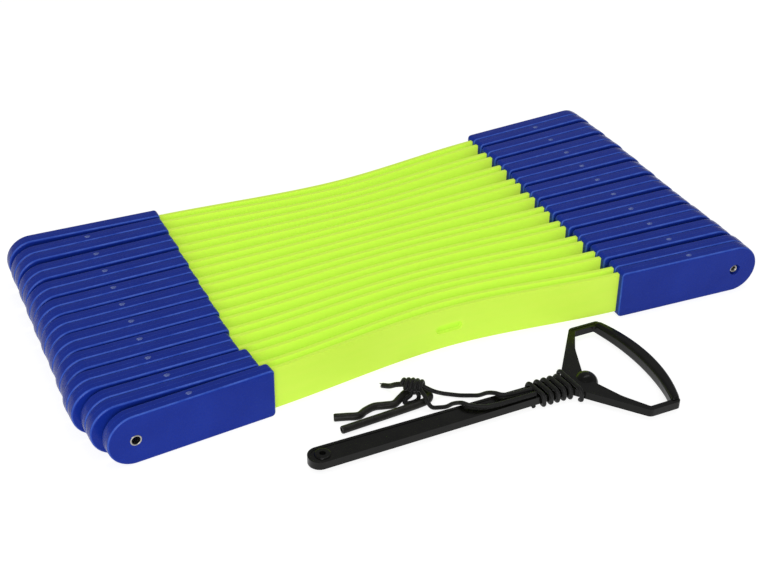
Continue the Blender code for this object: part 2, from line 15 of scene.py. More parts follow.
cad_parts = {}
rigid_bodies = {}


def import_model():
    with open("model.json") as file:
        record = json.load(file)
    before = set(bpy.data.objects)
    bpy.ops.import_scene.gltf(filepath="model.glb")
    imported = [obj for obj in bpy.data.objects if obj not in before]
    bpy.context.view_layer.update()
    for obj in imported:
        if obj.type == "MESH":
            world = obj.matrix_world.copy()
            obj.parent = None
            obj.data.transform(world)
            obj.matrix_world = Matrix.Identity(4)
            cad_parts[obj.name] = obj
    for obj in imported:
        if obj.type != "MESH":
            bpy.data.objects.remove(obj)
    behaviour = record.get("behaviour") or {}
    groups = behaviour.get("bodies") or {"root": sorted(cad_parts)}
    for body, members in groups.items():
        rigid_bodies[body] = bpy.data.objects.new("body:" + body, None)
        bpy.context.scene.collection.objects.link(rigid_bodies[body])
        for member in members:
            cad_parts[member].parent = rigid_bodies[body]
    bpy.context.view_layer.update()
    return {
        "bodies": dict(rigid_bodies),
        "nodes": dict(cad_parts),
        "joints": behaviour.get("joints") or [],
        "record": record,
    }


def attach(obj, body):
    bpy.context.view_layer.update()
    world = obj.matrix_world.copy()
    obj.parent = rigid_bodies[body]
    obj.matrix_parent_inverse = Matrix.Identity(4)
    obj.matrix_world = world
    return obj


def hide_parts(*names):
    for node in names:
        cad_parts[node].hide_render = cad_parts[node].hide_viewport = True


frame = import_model()

# Slats and their caps, as in the CAD model
SLAT_COUNT = 20
FUSED_SLATS = (10, 11)
STACK_AT = (0.0040, 0.0513)
CAP_HEIGHT = 0.038
CAP_LENGTH = 0.118
CAP_THICKNESS = 0.0104
CAP_CORNER = 0.003
CAP_REACH = CAP_LENGTH - CAP_HEIGHT / 2
BLADE_HEIGHT = 0.0324
BLADE_THICKNESS = 0.003
BLADE_OFFSET = 0.0012
TONGUE = 0.030
SLOT_LENGTH = 0.021
SLOT_HEIGHT = 0.007
SLOT_AT = 0.003
WAIST_PITCH = 0.0105
WAIST_STAGGER = 0.0007

# How the folded caps lie, as in the CAD model. On the right the riveted pairs fan out evenly,
# and the back ones stand further out. On the left they are almost parallel, only the free ends
# splay away, by a quarter as much with each row inwards, and two pairs stand further out.
ROWS = SLAT_COUNT // 2
PAIR_GAP = 0.0004
RIGHT_FAN = 0.0144
RIGHT_MIDDLE = 0.0009
RIGHT_PITCH = 0.02575
RIGHT_OUT = 0.2352
RIGHT_STEP = 0.0042
RIGHT_STEP_FROM = 4
RIGHT_STEP_ROWS = 4.5
LEFT_LEAN = 0.0135
LEFT_SPLAY = 0.0580
SPLAY_A_ROW_IN = 0.25
LEFT_MIDDLE = -0.0072
LEFT_PITCH = 0.0228
LEFT_LOOSER = 0.00007
LEFT_LOOSER_BACK = 0.0002
LEFT_OUT = 0.2365
LEFT_BULGE = 0.0082
LEFT_BULGE_SKEW = 0.55
LEFT_OUT_BACK = 0.0020
LEFT_FURTHER_OUT = {2: 0.0034, 3: 0.0012}
FREE_ENDS = (-0.1202, 0.1136)

# Finer shape; the gate's profile is of (radius, height) on the cap's edge
TURNED_SIDES = 40
CAP_ROUND = 0.0016
ROUND_STEPS = 4
CAP_END_STEPS = 32
CAP_CORNER_STEPS = 6
PARTING = 0.00010
POCKET_ROOM = 0.0003
BLADE_ROUND = 0.0007
BLADE_STEP = 0.006
GATE_AT = 0.040
GATE_OVAL = 0.7
GATE_SIDES = 20
GATE_UNEVEN, GATE_WAVES = 0.5, 2.3
GATE_PROFILE = (
    (0.0022, -0.0002), (0.0022, 0.00018), (0.0018, 0.00030), (0.0013, 0.00026), (0.0009, 0.00008),
    (0.0003, 0.00011),
)

# Rivets and eyelets; half a rivet's profile is of (radius, depth below the recess's floor)
BORE = 0.0068
RECESS = 0.0086
RECESS_DEPTH = 0.0026
SHANK = 0.0060
RIVET_HEAD = 0.0077
RIVET_PLAY = 0.00005
RIVET_PROFILE = (
    (0.0, 0.0030), (0.0017, 0.0030), (0.0017, -0.0007), (0.0020, -0.0011), (0.0026, -0.0013),
    (0.0033, -0.0010), (RIVET_HEAD / 2, -0.0005), (RIVET_HEAD / 2, -RIVET_PLAY),
    (SHANK / 2, -RIVET_PLAY),
)
EYELET_RIM = 0.0081
EYELET_BORE = 0.0059
EYELET_ROLL_HEIGHT = 0.8

# Carry handle. Past the neck its middle lies a little to the side, by up to GRIP_ASIDE.
HANDLE_TIP = (-0.1402, -0.1775)
HANDLE_TURN = math.radians(-0.7)
BAR_THICKNESS = 0.0058
BAR_EDGE = 0.0011
FLAT_BEVEL = BAR_EDGE * 0.9
WEB_THICKNESS = 0.0051
RIM = 0.0022
BAR_HALF_TIP = 0.0083
BAR_HALF_NECK = 0.0069
NECK_END = 0.1910
NECK_FLARE = 0.006
ARM_FOOT = 0.2270
ARM_CORNER = 0.005
GRIP_HALF_WIDTH = 0.0523
GRIP_BACK = 0.2515
GRIP_CORNER = 0.003
GRIP_BULGE = 0.0104
GRIP_ASIDE = 0.0017
OPENING_HALF_WIDTH = 0.0478
OPENING_FRONT = 0.2075
OPENING_BACK = 0.2460
OPENING_BULGE = 0.0072
OPENING_NOSE = 0.0035
OPENING_CHEEK = (0.0108, 0.0300)
OPENING_CHEEK_ROUND = 0.030
OPENING_FOOT = ARM_FOOT + 0.0025
OPENING_CORNER = 0.0015
BOW_STEPS = 24
HAND_BAR_HALF_LENGTH = 0.0495
HAND_BAR_THICKNESS = 0.0091
HAND_BAR_EDGE = 0.0026
HAND_BAR_SWELL = 0.0003
HUB_AT = 0.2075
HUB = 0.0178
HUB_SHOULDER = -0.0033
HUB_TOP = 0.0057
HUB_FOOT_EDGE = 0.001
DOME_STEPS = 12
TIP_HOLE_AT = 0.0100
TIP_HOLE = 0.0042
TIP_BOSS = 0.0110
TIP_BOSS_THICKNESS = 0.0072
TIP_BOSS_EDGE = 0.0009

# Cord and tube; the routes are in the stack frame, and FLOOR_GAP keeps the handle off the floor
FLOOR_GAP = 0.0001
CORD = 0.0030
CORD_CLEARANCE = 0.00035
TURNS = 6
TURN_POINTS = 24
WINDING_START = 0.1630
FIRST_PITCH = 0.0080
LAST_PITCH = 0.0049
TUBE = 0.0055
TUBE_BORE = 0.0031
TUBE_BORE_DEPTH = 0.006
TUBE_LIP = 0.0003
TUBE_SIDES = 28
TUBE_STEP = 0.0008
CORD_SIDES = 32
CORD_STEP = 0.0004
ROUTE_STEPS = 20
BRAID_BUNDLES = 8
BRAID_LAY = 0.010
BRAID_DEPTH = 0.07
WRAP_HALF_HEIGHT = BAR_THICKNESS / 2 + CORD_CLEARANCE + CORD / 2
WRAP_CORNER = BAR_EDGE + CORD_CLEARANCE + CORD / 2
HANDLE_Z = WRAP_HALF_HEIGHT + CORD / 2 + FLOOR_GAP
UPPER_STRAND = (
    (-0.0400, -0.1420, 0.0098), (-0.0339, -0.1470, 0.0068), (-0.0268, -0.1468, 0.0024),
    (-0.0213, -0.1499, 0.0017), (-0.0162, -0.1534, 0.0017), (-0.0105, -0.1565, 0.0019),
    (-0.0064, -0.1612, 0.0040), (-0.0031, -0.1665, 0.0086), (-0.0004, -0.1720, 0.0114),
    (0.0036, -0.1760, 0.0114), (0.0110, -0.1776, 0.0112), (0.0245, -0.1786, 0.0112),
)
LOWER_STRAND = (
    (-0.0430, -0.1430, 0.0098), (-0.0428, -0.1500, 0.0088), (-0.0425, -0.1553, 0.0058),
    (-0.0402, -0.1575, 0.0024), (-0.0355, -0.1590, 0.0017), (-0.0310, -0.1610, 0.0024),
    (-0.0285, -0.1652, 0.0070), (-0.0258, -0.1718, 0.0114), (-0.0222, -0.1765, 0.0115),
    (-0.0150, -0.1812, 0.0112), (-0.0050, -0.1832, 0.0112), (0.0245, -0.1840, 0.0112),
)
TAIL = (
    (-0.0490, -0.1360, 0.0100), (-0.0535, -0.1305, 0.0074), (-0.0563, -0.1254, 0.0036),
    (-0.0592, -0.1206, 0.0017),
)
BINDING = (
    (-0.0445, -0.1400, 0.0068), (-0.0428, -0.1428, 0.0030), (-0.0450, -0.1452, 0.0017),
    (-0.0495, -0.1462, 0.0017), (-0.0530, -0.1455, 0.0017), (-0.0543, -0.1440, 0.0018),
    (-0.0520, -0.1425, 0.0030), (-0.0485, -0.1418, 0.0045), (-0.0470, -0.1400, 0.0068),
)
KNOT_AT = (-0.0455, -0.1388, 0.0104)
KNOT_SIZE = (0.0085, 0.0058, 0.0044)
KNOT_TURN = math.radians(-35)
KNOT_FROM = math.radians(-60)
KNOT_TURNS = 4.5
KNOT_TURN_STEPS = 16
KNOT_BARREL = 0.22
KNOT_CORE = 1.6
TAIL_SWELL = 1.25
FRAY_COUNT = 12
FRAY_TURN = 2.4
FRAY_REACH = 0.42
FRAY_SPREAD = 0.5
FRAY_LENGTH = 0.0022
FRAY_ROOT, FRAY_TIP = 0.0004, 0.00015
TUBE_ROUTE = (
    (-0.1050, -0.1398, 0.00285), (-0.0969, -0.1426, 0.00285), (-0.0892, -0.1450, 0.00285),
    (-0.0830, -0.1423, 0.00285), (-0.0757, -0.1407, 0.00285), (-0.0686, -0.1425, 0.00285),
    (-0.0620, -0.1438, 0.00285), (-0.0552, -0.1397, 0.00285), (-0.0488, -0.1362, 0.00285),
    (-0.0424, -0.1368, 0.00285), (-0.0375, -0.1403, 0.00285), (-0.0362, -0.1455, 0.00285),
    (-0.0397, -0.1497, 0.00285), (-0.0470, -0.1511, 0.00285), (-0.0560, -0.1517, 0.00285),
    (-0.0700, -0.1524, 0.00285), (-0.0880, -0.1532, 0.00285), (-0.1058, -0.1540, 0.00285),
)

# Camera, fitted to the photograph, in the stack frame
CAMERA_AT = (-0.41774, -0.83188, 0.60592)
CAMERA_HEADING = 26.559
CAMERA_DOWN = 33.318
CAMERA_ROLL = 0.709
CAMERA_LENS = 68.633
CAMERA_SENSOR = 36.0

# Light: the world's level, and each lamp's power in watts, place, size and aim
WORLD_LIGHT = 0.38
FRONT_POWER = 22.5
FRONT_AT, FRONT_AIM = (-0.98, -1.63, 0.75), (0.0, 0.0, 0.0)
FRONT_SIZE = (1.3, 1.3)
STRIP_POWER = 4.5
STRIP_AT, STRIP_AIM = (0.45, 0.10, 1.55), (0.45, 0.0, 0.0)
STRIP_SIZE = (1.7, 0.32)

# Ground: its own colour, and what the camera sees of it: the grey that the lamps light, laid
# over a glow that falls short of white by DEEPEST_SHADOW
GROUND_HALF_WIDTH = 4.0
GROUND_GREY = 0.38
DEEPEST_SHADOW = 0.18

# Finishes: the noise values between which a mottled colour goes from its low to its high one,
# and how far a painted highlight pales a cap's rounded edge where it faces this far along its
# thickness, 0 on its sides, 1 on its faces
MOTTLE_FROM, MOTTLE_TO = 0.3, 0.7
PAINTED_EDGE_HIGHLIGHT = ((0.15, 0.0), (0.45, 1.0), (0.75, 1.0), (0.97, 0.0))


def on_stack(x, y, z):
    """A point given from the middle of the stack of slats, on the floor."""
    return Vector((x + STACK_AT[0], y + STACK_AT[1], z))


def place_camera():
    camera = bpy.data.objects.new("camera", bpy.data.cameras.new("camera"))
    bpy.context.scene.collection.objects.link(camera)
    camera.data.sensor_width = CAMERA_SENSOR
    camera.data.lens = CAMERA_LENS
    camera.data.clip_start = 0.05
    turn = (
        Matrix.Rotation(math.radians(-CAMERA_HEADING), 4, "Z")
        @ Matrix.Rotation(math.radians(90 - CAMERA_DOWN), 4, "X")
        @ Matrix.Rotation(math.radians(CAMERA_ROLL), 4, "Z")
    )
    camera.matrix_world = Matrix.Translation(on_stack(*CAMERA_AT)) @ turn
    bpy.context.scene.camera = camera


# Materials

def paint(code):
    """An sRGB hex colour as linear red, green, blue and alpha."""
    shares = [int(code[i:i + 2], 16) / 255 for i in (1, 3, 5)]
    return (*[c / 12.92 if c <= 0.04045 else ((c + 0.055) / 1.055) ** 2.4 for c in shares], 1.0)


def add(tree, kind, inputs=(), **settings):
    """A node with its settings; an input is a value or the socket that feeds it."""
    made = tree.nodes.new("ShaderNode" + kind)
    for name, value in settings.items():
        setattr(made, name, value)
    for key, value in dict(inputs).items():
        if isinstance(value, bpy.types.NodeSocket):
            tree.links.new(value, made.inputs[key])
        else:
            made.inputs[key].default_value = value
    return made


def finish_named(name, **sockets):
    """A material whose shader has these sockets set, its node tree and that shader."""
    made = bpy.data.materials.new(name)
    made.use_nodes = True
    shader = made.node_tree.nodes["Principled BSDF"]
    for socket, value in sockets.items():
        shader.inputs[socket.replace("_", " ")].default_value = value
    return made, made.node_tree, shader


def mottled(tree, place, size, low, high):
    """A cloudy pattern of patches of this size in metres, from the low colour to the high one."""
    cloud = add(tree, "TexNoise", {"Vector": place, "Scale": 1 / size, "Detail": 3.0})
    ramp = add(tree, "ValToRGB", {0: cloud.outputs["Fac"]})
    for stop, position, colour in zip(
            ramp.color_ramp.elements, (MOTTLE_FROM, MOTTLE_TO), (low, high)):
        stop.position, stop.color = position, colour
    return ramp.outputs["Color"]


def grained(tree, place, shader, size, height):
    """Adds a fine raised grain of this size and height in metres to the shader's normal."""
    grain = add(tree, "TexNoise", {"Vector": place, "Scale": 1 / size, "Detail": 2.0})
    bump = add(tree, "Bump", {"Height": grain.outputs["Fac"], "Distance": height, "Strength": 1.0})
    tree.links.new(bump.outputs["Normal"], shader.inputs["Normal"])


def grey(value):
    return (value, value, value, 1.0)


def moulded_polypropylene():
    """Injection moulded polypropylene, a waxy satin blue with a fine spark eroded grain."""
    made, tree, shader = finish_named("moulded_blue_polypropylene", IOR=1.49, Specular_IOR_Level=0.12)
    coordinates = add(tree, "TexCoord")
    place = coordinates.outputs["Object"]
    colour = mottled(tree, place, 0.030, paint("#132C90"), paint("#183299"))
    # The paler blue of the painted highlight along the caps' rounded edges
    edge_highlight_blue = mottled(tree, place, 0.012, paint("#2C4CB0"), paint("#4868C8"))
    # A cap's faces look along its own Z. Between face and side its rounded edge is painted paler: a
    # painted highlight for the fine line of light that the edge catches.
    facing = add(tree, "SeparateXYZ", {0: coordinates.outputs["Normal"]}).outputs["Z"]
    turned_away = add(tree, "Math", {0: facing}, operation="ABSOLUTE").outputs[0]
    edge = add(tree, "ValToRGB", {0: turned_away})
    for position, share in PAINTED_EDGE_HIGHLIGHT:
        stop = edge.color_ramp.elements.new(position)
        stop.color = grey(share)
    edge.color_ramp.elements[0].color = edge.color_ramp.elements[-1].color = grey(0.0)
    highlighted_colour = add(tree, "Mix", {0: edge.outputs["Color"], 6: colour, 7: edge_highlight_blue}, data_type="RGBA")
    tree.links.new(highlighted_colour.outputs[2], shader.inputs["Base Color"])
    tree.links.new(mottled(tree, place, 0.004, grey(0.22), grey(0.30)), shader.inputs["Roughness"])
    # The real grain is about 0.1 mm and is drawn 0.35 mm wide, so that it shows.
    grained(tree, place, shader, 0.00035, 0.000004)
    return made


def gate_scar():
    """Polypropylene stretched white where the sprue was broken off at the gate."""
    made, tree, shader = finish_named("stress_whitened_gate", IOR=1.49, Roughness=0.5)
    place = add(tree, "TexCoord").outputs["Object"]
    colour = mottled(tree, place, 0.0012, paint("#1A3490"), paint("#8092CC"))
    tree.links.new(colour, shader.inputs["Base Color"])
    grained(tree, place, shader, 0.0006, 0.00006)
    return made


def fluorescent_polypropylene():
    """Moulded fluorescent polypropylene: light scatters in it, and a painted glow, an even emission
    that stands for its fluorescence, keeps its thin blades bright in their shade too.
    """
    made, tree, shader = finish_named(
        "moulded_fluorescent_polypropylene", IOR=1.49, Specular_IOR_Level=0.2,
        # The emission is a painted glow: the fluorescence drawn as light of its own, as bright in
        # shade as in the lamps' light
        Emission_Strength=0.34, Emission_Color=paint("#E0F25E"), Subsurface_Weight=0.25,
        Subsurface_Scale=0.004, Subsurface_Radius=(1.0, 1.0, 0.35),
    )
    place = add(tree, "TexCoord").outputs["Object"]
    # Moulding flow draws faint streaks along the blade, 60 mm long and 6 mm wide.
    streak = add(tree, "Mapping", {"Vector": place, "Scale": (0.1, 1.0, 1.0)}).outputs["Vector"]
    colour = mottled(tree, streak, 0.006, paint("#AEDA3C"), paint("#B4DC42"))
    tree.links.new(colour, shader.inputs["Base Color"])
    tree.links.new(mottled(tree, place, 0.005, grey(0.34), grey(0.46)), shader.inputs["Roughness"])
    grained(tree, streak, shader, 0.0025, 0.00003)
    return made


def glossy_nylon():
    """Moulded black nylon, glossy, with the slight waves of a thick moulding's sinking."""
    made, tree, shader = finish_named("moulded_black_nylon", IOR=1.53, Specular_IOR_Level=0.18)
    place = add(tree, "TexCoord").outputs["Object"]
    colour = mottled(tree, place, 0.012, paint("#070706"), paint("#10100E"))
    tree.links.new(colour, shader.inputs["Base Color"])
    tree.links.new(mottled(tree, place, 0.003, grey(0.16), grey(0.30)), shader.inputs["Roughness"])
    grained(tree, place, shader, 0.004, 0.00006)
    return made


def braided_polyester():
    """Braided black polyester cord: crossing bundles with the dull sheen of their filaments."""
    made, tree, shader = finish_named(
        "braided_black_polyester", IOR=1.50, Specular_IOR_Level=0.25, Roughness=0.55,
        Sheen_Weight=0.12, Sheen_Roughness=0.4,
    )
    along = add(tree, "UVMap", uv_map="along_and_round").outputs["UV"]
    # Filaments are about 0.03 mm and are drawn 0.25 mm wide, askew to the cord, so that they show.
    filaments = add(tree, "Mapping", {"Vector": along, "Rotation": (0.0, 0.0, 0.6)}).outputs["Vector"]
    wave = add(tree, "TexWave", {"Vector": filaments, "Scale": 1 / 0.0008, "Distortion": 1.5})
    ramp = add(tree, "ValToRGB", {0: wave.outputs["Fac"]})
    ramp.color_ramp.elements[0].color = paint("#050505")
    ramp.color_ramp.elements[1].color = paint("#131312")
    tree.links.new(ramp.outputs["Color"], shader.inputs["Base Color"])
    bump = add(tree, "Bump", {"Height": wave.outputs["Fac"], "Distance": 0.00005, "Strength": 0.6})
    tree.links.new(bump.outputs["Normal"], shader.inputs["Normal"])
    return made


def latex_rubber():
    """Dipped black latex tube, satin, with a faint bloom that greys it in patches."""
    made, tree, shader = finish_named("black_latex_rubber", IOR=1.52, Specular_IOR_Level=0.2)
    place = add(tree, "TexCoord").outputs["Object"]
    colour = mottled(tree, place, 0.006, paint("#121210"), paint("#24241F"))
    tree.links.new(colour, shader.inputs["Base Color"])
    tree.links.new(mottled(tree, place, 0.002, grey(0.34), grey(0.5)), shader.inputs["Roughness"])
    grained(tree, place, shader, 0.0012, 0.00003)
    return made


def nickel_plated_steel():
    """Nickel plated steel, pressed and rolled: bright, with fine scuffs."""
    made, tree, shader = finish_named("nickel_plated_steel", Metallic=1.0, Base_Color=paint("#A9A7A0"))
    place = add(tree, "TexCoord").outputs["Object"]
    tree.links.new(mottled(tree, place, 0.0008, grey(0.18), grey(0.38)), shader.inputs["Roughness"])
    grained(tree, place, shader, 0.0005, 0.00001)
    return made


# Mesh tools

def link(name, data):
    made = bpy.data.objects.new(name, data)
    bpy.context.scene.collection.objects.link(made)
    return made


def mesh_of(name, build):
    """An object whose mesh the build function makes in a bmesh."""
    mesh = bpy.data.meshes.new(name)
    bm = bmesh.new()
    build(bm)
    bm.to_mesh(mesh)
    bm.free()
    return link(name, mesh)


def baked(item):
    """The item's evaluated mesh, welded; the item itself is removed."""
    bpy.context.view_layer.update()
    graph = bpy.context.evaluated_depsgraph_get()
    mesh = bpy.data.meshes.new_from_object(item.evaluated_get(graph))
    mesh.transform(item.matrix_world)
    bm = bmesh.new()
    bm.from_mesh(mesh)
    bmesh.ops.remove_doubles(bm, verts=bm.verts, dist=1e-6)
    bm.to_mesh(mesh)
    bm.free()
    bpy.data.objects.remove(item, do_unlink=True)
    return mesh


def combined(item, others, operation):
    """The item cut by, or joined to, the others, which are removed."""
    for other in others:
        step = item.modifiers.new(other.name, "BOOLEAN")
        step.operation = operation
        step.solver = "EXACT"
        step.object = other
    name = item.name
    mesh = baked(item)
    for other in others:
        bpy.data.objects.remove(other, do_unlink=True)
    return link(name, mesh)


def edged(item, width, segments=3):
    """A bevel of this width along the item's sharp edges."""
    bevel = item.modifiers.new("edge", "BEVEL")
    bevel.width = width
    bevel.segments = segments
    bevel.limit_method = "ANGLE"
    bevel.angle_limit = math.radians(50)
    return item


def block(name, low, high):
    """A box from its low corner to its high one."""
    size = Vector(high) - Vector(low)
    middle = Matrix.Translation((Vector(high) + Vector(low)) / 2)
    return mesh_of(name, lambda bm: bmesh.ops.create_cube(
        bm, size=1.0, matrix=middle @ Matrix.Diagonal((*size, 1.0))))


def turned(name, profile):
    """A solid turned about Z from a closed profile of (radius, z) points."""
    sides = TURNED_SIDES

    def build(bm):
        rings = []
        for radius, z in profile:
            if radius < 1e-7:
                rings.append([bm.verts.new((0.0, 0.0, z))])
                continue
            angles = [2 * math.pi * n / sides for n in range(sides)]
            rings.append([
                bm.verts.new((radius * math.cos(a), radius * math.sin(a), z)) for a in angles
            ])
        pairs = list(zip(rings, rings[1:]))
        if len(rings[0]) > 1:
            pairs.append((rings[-1], rings[0]))
        for one, two in pairs:
            for n in range(sides):
                after = (n + 1) % sides
                corners = [one[n % len(one)], one[after % len(one)],
                           two[after % len(two)], two[n % len(two)]]
                bm.faces.new([v for k, v in enumerate(corners) if v not in corners[:k]])
        bmesh.ops.recalc_face_normals(bm, faces=bm.faces)
    return mesh_of(name, build)


def rounded(corners):
    """A closed outline with each corner (x, y, radius, steps) rounded by an arc of steps sides."""
    points = []
    for i, (x, y, radius, steps) in enumerate(corners):
        corner = Vector((x, y))
        if not steps:
            points.append(corner)
            continue
        before = (Vector(corners[i - 1][:2]) - corner).normalized()
        after = (Vector(corners[(i + 1) % len(corners)][:2]) - corner).normalized()
        half = before.angle(after) / 2
        centre = corner + (before + after).normalized() * (radius / math.sin(half))
        start = corner + before * (radius / math.tan(half)) - centre
        sweep = start.angle_signed(corner + after * (radius / math.tan(half)) - centre)
        points += [centre + Matrix.Rotation(-sweep * n / steps, 2) @ start for n in range(steps + 1)]
    return points


def inset(points, width):
    """The outline moved inwards by a width, for an outline that runs anticlockwise."""
    shortest = 0.6  # keeps the points at sharp corners from moving too far
    moved = []
    for i, point in enumerate(points):
        before = (point - points[i - 1]).normalized()
        after = (points[(i + 1) % len(points)] - point).normalized()
        inwards = Vector((-before.y, before.x)) + Vector((-after.y, after.x))
        moved.append(point + inwards * (2 * width / max(shortest, inwards.length_squared)))
    return moved


def arc_through(start, end, bulge):
    """Points from start to end on an arc that stands out by bulge to the right of the line."""
    start, end = Vector(start), Vector(end)
    middle, along = (start + end) / 2, end - start
    aside = Vector((along.y, -along.x)).normalized()
    radius = (along.length_squared / 4 + bulge**2) / (2 * bulge)
    half = math.asin(along.length / 2 / radius)
    centre = middle + aside * (bulge - radius)
    angles = [half * (2 * n / BOW_STEPS - 1) for n in range(BOW_STEPS + 1)]
    return [centre + (aside * math.cos(a) + along.normalized() * math.sin(a)) * radius for a in angles]


def plate(name, outlines, thickness):
    """A flat plate in the XY plane, centred on z = 0, with the later outlines as its holes."""
    curve = bpy.data.curves.new(name, "CURVE")
    curve.dimensions = "2D"
    curve.fill_mode = "BOTH"
    curve.extrude = thickness / 2
    for outline in outlines:
        spline = curve.splines.new("POLY")
        spline.points.add(len(outline) - 1)
        for point, (x, y) in zip(spline.points, outline):
            point.co = (x, y, 0.0, 1.0)
        spline.use_cyclic_u = True
    return link(name, baked(link(name, curve)))


def coat(item, slot, *materials, sharp=35):
    """Gives the item its materials and smooth shading with crisp corners; the slot is not used."""
    for material in materials:
        item.data.materials.append(material)
    item.data.shade_smooth()
    item.data.set_sharp_from_angle(angle=math.radians(sharp))
    return item


def evened(item):
    """Keeps broad flat faces flat in the shading, next to their rounded edges."""
    item.modifiers.new("flat_faces", "WEIGHTED_NORMAL").keep_sharp = True
    return item


# Caps

def cap_ring(drawn_in):
    """The cap's outline drawn in by a distance: round about the pivot, square at the blade."""
    half, corner = CAP_HEIGHT / 2, CAP_CORNER
    arcs = (
        ((0.0, 0.0), half, 90, 270, CAP_END_STEPS),
        ((CAP_REACH - corner, corner - half), corner, 270, 360, CAP_CORNER_STEPS),
        ((CAP_REACH - corner, half - corner), corner, 0, 90, CAP_CORNER_STEPS),
    )
    points = []
    for (x, y), radius, first, last, steps in arcs:
        for n in range(steps + 1):
            angle = math.radians(first + (last - first) * n / steps)
            reach = radius - drawn_in
            points.append((x + reach * math.cos(angle), y + reach * math.sin(angle)))
    return points


def cap_levels():
    """Inset and height of each ring from the low face to the high one, with the parting line."""
    half = CAP_THICKNESS / 2
    rounding = []
    for n in range(ROUND_STEPS + 1):
        angle = math.pi / 2 * n / ROUND_STEPS
        rounding.append((CAP_ROUND * (1 - math.sin(angle)), half - CAP_ROUND * (1 - math.cos(angle))))
    low = [(drawn_in, -z) for drawn_in, z in rounding]
    line = [(0.0, -2 * PARTING), (-PARTING, -PARTING / 2), (-PARTING, PARTING / 2), (0.0, 2 * PARTING)]
    return low + line + rounding[::-1]


def cap_body(bm):
    """The cap's solid, ring on ring, before anything is cut from it."""
    rings = [[bm.verts.new((x, y, z)) for x, y in cap_ring(drawn_in)] for drawn_in, z in cap_levels()]
    for low, high in zip(rings, rings[1:]):
        for n in range(len(low)):
            after = (n + 1) % len(low)
            bm.faces.new((low[n], low[after], high[after], high[n]))
    bm.faces.new(rings[0][::-1])
    bm.faces.new(rings[-1])


def cap_mesh(side, free, gate_up):
    """A cap lying flat, its pivot on the Z axis: blade pocket, rivet bore, recess and gate scar."""
    towards = -1 if side == "right" else 1
    outer_face = -towards * CAP_THICKNESS / 2
    body = mesh_of("cap", cap_body)
    cuts = [block(
        "pocket",
        (CAP_REACH - TONGUE - POCKET_ROOM, -BLADE_HEIGHT / 2 - POCKET_ROOM,
         -BLADE_OFFSET - BLADE_THICKNESS / 2 - POCKET_ROOM),
        (CAP_REACH + POCKET_ROOM, BLADE_HEIGHT / 2 + POCKET_ROOM,
         -BLADE_OFFSET + BLADE_THICKNESS / 2 + POCKET_ROOM),
    ), round_bar("bore", BORE, -CAP_THICKNESS, CAP_THICKNESS)]
    if not free:
        past, sunk = outer_face * 1.2, outer_face + towards * RECESS_DEPTH
        cuts.append(round_bar("recess", RECESS, min(past, sunk), max(past, sunk)))
    mesh = baked(combined(body, cuts, "DIFFERENCE"))
    if gate_up:
        bm = bmesh.new()
        bm.from_mesh(mesh)
        add_gate(bm, gate_up)
        bm.to_mesh(mesh)
        bm.free()
    return mesh


def add_gate(bm, up):
    """The gate's oval scar on the cap's upper edge: a low broken ring round a sunken middle."""
    rings = []
    for radius, height in GATE_PROFILE:
        angles = [2 * math.pi * n / GATE_SIDES for n in range(GATE_SIDES)]
        rings.append([bm.verts.new((
            GATE_AT + radius * math.cos(a),
            up * (CAP_HEIGHT / 2 + height * (1 + GATE_UNEVEN * math.sin(GATE_WAVES * a))),
            GATE_OVAL * radius * math.sin(a),
        )) for a in angles])
    made = [bm.faces.new(rings[0]), bm.faces.new(rings[-1])]
    for low, high in zip(rings, rings[1:]):
        for n in range(GATE_SIDES):
            after = (n + 1) % GATE_SIDES
            made.append(bm.faces.new((low[n], low[after], high[after], high[n])))
    for face in made:
        face.material_index = 1
    bmesh.ops.recalc_face_normals(bm, faces=made)


# How the folded slats lie, as in the CAD model

def row_of(side, slat):
    """A cap's row from the front: riveted pairs share a row, and rows 0 and 10 are free ends."""
    return slat // 2 if side == "left" else (slat + 1) // 2


def is_free(side, slat):
    return side == "left" and slat in (1, SLAT_COUNT)


def partner(side, slat):
    """The slat that is riveted to this one at that side."""
    return slat + 1 if (slat % 2 == 1) == (side == "right") else slat - 1


def pair_lean(side, slat):
    """How far a slat's cap turns towards the back on its way inwards, in radians."""
    row = row_of(side, slat)
    if side == "right":
        return RIGHT_FAN * ((ROWS + 1) / 2 - row)
    splay = SPLAY_A_ROW_IN**row - SPLAY_A_ROW_IN ** (ROWS - row)
    return LEFT_LEAN + LEFT_SPLAY * splay


def across(side, slat):
    """The way towards the back that is square to a slat's cap."""
    lean = pair_lean(side, slat)
    return Vector((math.sin(lean) if side == "right" else -math.sin(lean), math.cos(lean), 0.0))


def pivot(side, slat):
    """The middle of a slat's cap at its pivot."""
    row = row_of(side, slat)
    if side == "right":
        late = min(1.0, max(0.0, (row - RIGHT_STEP_FROM) / RIGHT_STEP_ROWS))
        x = RIGHT_OUT + RIGHT_STEP * late**2 * (3 - 2 * late)
        y = RIGHT_MIDDLE + RIGHT_PITCH * (row - (ROWS + 1) / 2)
    else:
        from_middle = row - ROWS / 2
        x = -LEFT_OUT - LEFT_BULGE * math.sin(math.pi * (row / ROWS) ** LEFT_BULGE_SKEW)
        x -= LEFT_OUT_BACK * (row / ROWS) ** 2 + LEFT_FURTHER_OUT.get(row, 0.0)
        y = LEFT_MIDDLE + LEFT_PITCH * from_middle
        y += LEFT_LOOSER_BACK * from_middle**2 + LEFT_LOOSER * from_middle**3
    if is_free(side, slat):
        return on_stack(x, FREE_ENDS[0] if slat == 1 else FREE_ENDS[1], CAP_HEIGHT / 2)
    behind = (slat % 2 == 0) == (side == "right")
    half = (CAP_THICKNESS + PAIR_GAP) / (2 if behind else -2)
    return on_stack(x, y, CAP_HEIGHT / 2) + across(side, slat) * half


def heading(side, slat):
    """The way from a slat's pivot along its cap, as an angle about Z."""
    lean = pair_lean(side, slat)
    return math.pi - lean if side == "right" else lean


def cap_tip(side, slat):
    """1 where a cap stands with its own +Y edge up, and -1 where that edge is down."""
    return 1 if (side == "left") == (slat % 2 == 1) else -1


